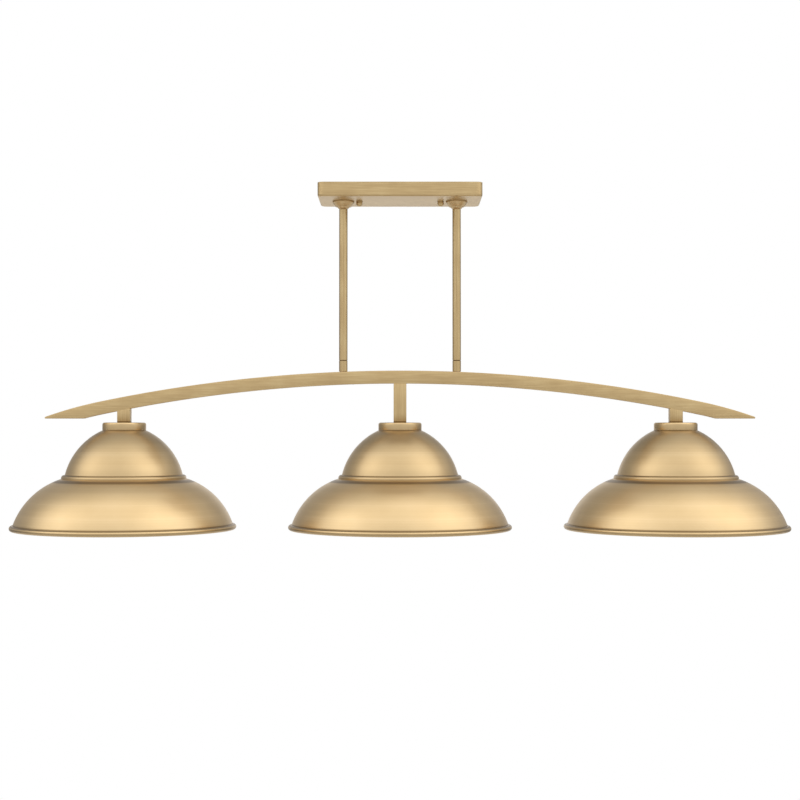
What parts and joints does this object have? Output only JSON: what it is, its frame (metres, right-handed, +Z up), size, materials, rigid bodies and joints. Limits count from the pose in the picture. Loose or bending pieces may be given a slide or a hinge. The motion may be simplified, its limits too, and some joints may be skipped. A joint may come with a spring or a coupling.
{
  "type": "linear island pendant",
  "caption": "Linear island pendant: an arched bar on round down rods carries bell shades in line, each with a domed top, waist bead and curled rim, in satin aged brass.",
  "frame": {"origin": "centre of the ceiling plane, midway between the two box screw slots of the crossbar", "axes": "+X along the arched bar, -Y to the front, +Z up to the ceiling; the pendant hangs below Z = 0"},
  "size_m": [1.213, 0.3494, 0.5367],
  "materials": {
    "aged_brass": "satin aged brass, brushed and lacquered",
    "zinc_plated_steel": "bright zinc plate",
    "porcelain": "white glaze",
    "bare_brass": "bright pressed brass",
    "frosted_glass": "inside frosted",
    "bulb_cap_aluminium": "bright rolled aluminium",
    "solder": "dull solder",
    "black_insulation": "smooth vinyl",
    "white_insulation": "smooth vinyl",
    "green_insulation": "smooth vinyl",
    "green_screw": "green passivated",
    "connector_plastic": "moulded, ribbed"
  },
  "bodies": {
    "ceiling_mount": {"canopy": "aged_brass", "crossbar": "zinc_plated_steel", "canopy_studs": "zinc_plated_steel", "stud_lock_nuts": "zinc_plated_steel", "canopy_cap_nuts": "aged_brass", "ground_screw": "green_screw", "ground_lead": "green_insulation", "wire_connectors": "connector_plastic", "canopy_live_leads": "black_insulation", "canopy_neutral_leads": "white_insulation", "swivel_ring_nuts": "zinc_plated_steel", "swivel_cup_left": "aged_brass", "swivel_cup_right": "aged_brass"},
    "arm": {"rod_top_nipples": "zinc_plated_steel", "rod_foot_nipples": "zinc_plated_steel", "rod_bushes": "zinc_plated_steel", "arched_bar": "aged_brass", "bar_tip_plates": "aged_brass", "post_plugs": "zinc_plated_steel", "socket_nipples": "zinc_plated_steel", "socket_caps": "zinc_plated_steel", "centre_contacts": "bare_brass", "live_leads": "black_insulation", "neutral_leads": "white_insulation", "swivel_ball_left": "aged_brass", "rod_left": "aged_brass", "rod_coupling_left": "aged_brass", "swivel_ball_right": "aged_brass", "rod_right": "aged_brass", "rod_coupling_right": "aged_brass", "post_left": "aged_brass", "collar_left": "aged_brass", "socket_body_left": "porcelain", "screw_shell_left": "bare_brass", "post_centre": "aged_brass", "collar_centre": "aged_brass", "socket_body_centre": "porcelain", "screw_shell_centre": "bare_brass", "post_right": "aged_brass", "collar_right": "aged_brass", "socket_body_right": "porcelain", "screw_shell_right": "bare_brass"},
    "left_shade": {"shade_left": "aged_brass"},
    "left_shade_ring": {"shade_ring_left": "aged_brass"},
    "left_bulb_tip": {"bulb_tip_left": "solder"},
    "left_bulb": {"bulb_cap_left": "bulb_cap_aluminium", "bulb_glass_left": "frosted_glass"},
    "centre_shade": {"shade_centre": "aged_brass"},
    "centre_shade_ring": {"shade_ring_centre": "aged_brass"},
    "centre_bulb_tip": {"bulb_tip_centre": "solder"},
    "centre_bulb": {"bulb_cap_centre": "bulb_cap_aluminium", "bulb_glass_centre": "frosted_glass"},
    "right_shade": {"shade_right": "aged_brass"},
    "right_shade_ring": {"shade_ring_right": "aged_brass"},
    "right_bulb_tip": {"bulb_tip_right": "solder"},
    "right_bulb": {"bulb_cap_right": "bulb_cap_aluminium", "bulb_glass_right": "frosted_glass"}
  },
  "joints": [
    {"name": "hang_straight_swivel", "type": "hinge", "parent": "ceiling_mount", "child": "arm", "pos_m": [0, 0, -0.024], "axis": [1, 0, 0], "range_deg": [-20, 20]},
    {"name": "left_shade_drop", "type": "slide", "parent": "arm", "child": "left_shade", "axis": [0, 0, -1], "range_m": [0, 0.0099]},
    {"name": "left_shade_ring_turn", "type": "hinge", "parent": "left_shade", "child": "left_shade_ring", "pos_m": [-0.4318, 0, -0.38608], "axis": [0, 0, -1], "range_deg": [0, 1800]},
    {"name": "left_bulb_drop", "type": "slide", "parent": "arm", "child": "left_bulb_tip", "axis": [0, 0, -1], "range_m": [0, 0.0181]},
    {"name": "left_bulb_turn", "type": "hinge", "parent": "left_bulb_tip", "child": "left_bulb", "pos_m": [-0.4318, 0, -0.39668], "axis": [0, 0, -1], "range_deg": [0, 1800]},
    {"name": "centre_shade_drop", "type": "slide", "parent": "arm", "child": "centre_shade", "axis": [0, 0, -1], "range_m": [0, 0.0099]},
    {"name": "centre_shade_ring_turn", "type": "hinge", "parent": "centre_shade", "child": "centre_shade_ring", "pos_m": [0, 0, -0.38608], "axis": [0, 0, -1], "range_deg": [0, 1800]},
    {"name": "centre_bulb_drop", "type": "slide", "parent": "arm", "child": "centre_bulb_tip", "axis": [0, 0, -1], "range_m": [0, 0.0181]},
    {"name": "centre_bulb_turn", "type": "hinge", "parent": "centre_bulb_tip", "child": "centre_bulb", "pos_m": [0, 0, -0.39668], "axis": [0, 0, -1], "range_deg": [0, 1800]},
    {"name": "right_shade_drop", "type": "slide", "parent": "arm", "child": "right_shade", "axis": [0, 0, -1], "range_m": [0, 0.0099]},
    {"name": "right_shade_ring_turn", "type": "hinge", "parent": "right_shade", "child": "right_shade_ring", "pos_m": [0.4318, 0, -0.38608], "axis": [0, 0, -1], "range_deg": [0, 1800]},
    {"name": "right_bulb_drop", "type": "slide", "parent": "arm", "child": "right_bulb_tip", "axis": [0, 0, -1], "range_m": [0, 0.0181]},
    {"name": "right_bulb_turn", "type": "hinge", "parent": "right_bulb_tip", "child": "right_bulb", "pos_m": [0.4318, 0, -0.39668], "axis": [0, 0, -1], "range_deg": [0, 1800]}
  ],
  "couplings": [
    {"joint": "left_shade_ring_turn", "follows": "left_shade_drop", "rad_per_m": 3141.6},
    {"joint": "left_bulb_turn", "follows": "left_bulb_drop", "rad_per_m": 1731.4},
    {"joint": "centre_shade_ring_turn", "follows": "centre_shade_drop", "rad_per_m": 3141.6},
    {"joint": "centre_bulb_turn", "follows": "centre_bulb_drop", "rad_per_m": 1731.4},
    {"joint": "right_shade_ring_turn", "follows": "right_shade_drop", "rad_per_m": 3141.6},
    {"joint": "right_bulb_turn", "follows": "right_bulb_drop", "rad_per_m": 1731.4}
  ]
}
